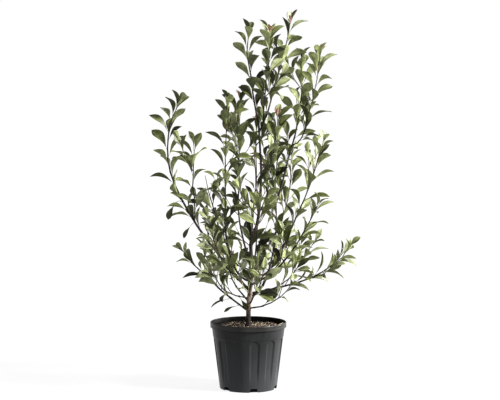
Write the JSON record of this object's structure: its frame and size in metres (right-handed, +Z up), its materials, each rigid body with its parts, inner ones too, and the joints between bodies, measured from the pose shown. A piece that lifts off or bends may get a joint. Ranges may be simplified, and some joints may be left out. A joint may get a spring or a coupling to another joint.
{
  "type": "potted red tip photinia shrub",
  "caption": "Young evergreen shrub with a leaning trunk, upright leafy shoots and red young tips, in a round ribbed nursery pot.",
  "frame": {"origin": "centre of the pot's flat underside, on the floor", "axes": "+Z up along the trunk, +X to the viewer's right in the picture, +Y away from the viewer"},
  "size_m": [0.7665, 0.6672, 1.3797],
  "materials": {
    "pot_plastic": "satin black moulded plastic",
    "soil_earth": "rough potting soil with bark chips",
    "bark": "thin brown to grey bark",
    "leafage": "glossy dark green leaves with paler undersides"
  },
  "bodies": {
    "root": {"bough_back_left": "bark", "bough_back_low_left": "bark", "bough_back_low_right": "bark", "bough_back_right": "bark", "bough_back_tall": "bark", "bough_front_left": "bark", "bough_front_low": "bark", "bough_front_middle": "bark", "bough_leader_left": "bark", "bough_leader_right": "bark", "bough_left_inner": "bark", "bough_left_low": "bark", "bough_left_middle": "bark", "bough_left_short": "bark", "bough_left_sweep": "bark", "bough_left_tall": "bark", "bough_low_left_curl": "bark", "bough_low_right_curl": "bark", "bough_right_low": "bark", "bough_right_lowest": "bark", "bough_right_middle": "bark", "bough_right_slant": "bark", "bough_right_tall": "bark", "bough_right_tall_top": "bark", "foliage_back_left": "leafage", "foliage_back_low_left": "leafage", "foliage_back_low_right": "leafage", "foliage_back_right": "leafage", "foliage_back_tall": "leafage", "foliage_front_left": "leafage", "foliage_front_low": "leafage", "foliage_front_middle": "leafage", "foliage_inner_back": "leafage", "foliage_inner_front": "leafage", "foliage_inner_left": "leafage", "foliage_inner_low": "leafage", "foliage_inner_right": "leafage", "foliage_leader_left": "leafage", "foliage_leader_middle": "leafage", "foliage_leader_right": "leafage", "foliage_left_inner": "leafage", "foliage_left_low": "leafage", "foliage_left_middle": "leafage", "foliage_left_short": "leafage", "foliage_left_slim": "leafage", "foliage_left_sweep": "leafage", "foliage_left_tall": "leafage", "foliage_low_left_curl": "leafage", "foliage_low_right_curl": "leafage", "foliage_red_shoot": "leafage", "foliage_right_fan": "leafage", "foliage_right_low": "leafage", "foliage_right_lowest": "leafage", "foliage_right_middle": "leafage", "foliage_right_outer": "leafage", "foliage_right_slant": "leafage", "foliage_right_tall_top": "leafage", "pot": "pot_plastic", "soil": "soil_earth", "trunk": "bark"}
  },
  "joints": []
}
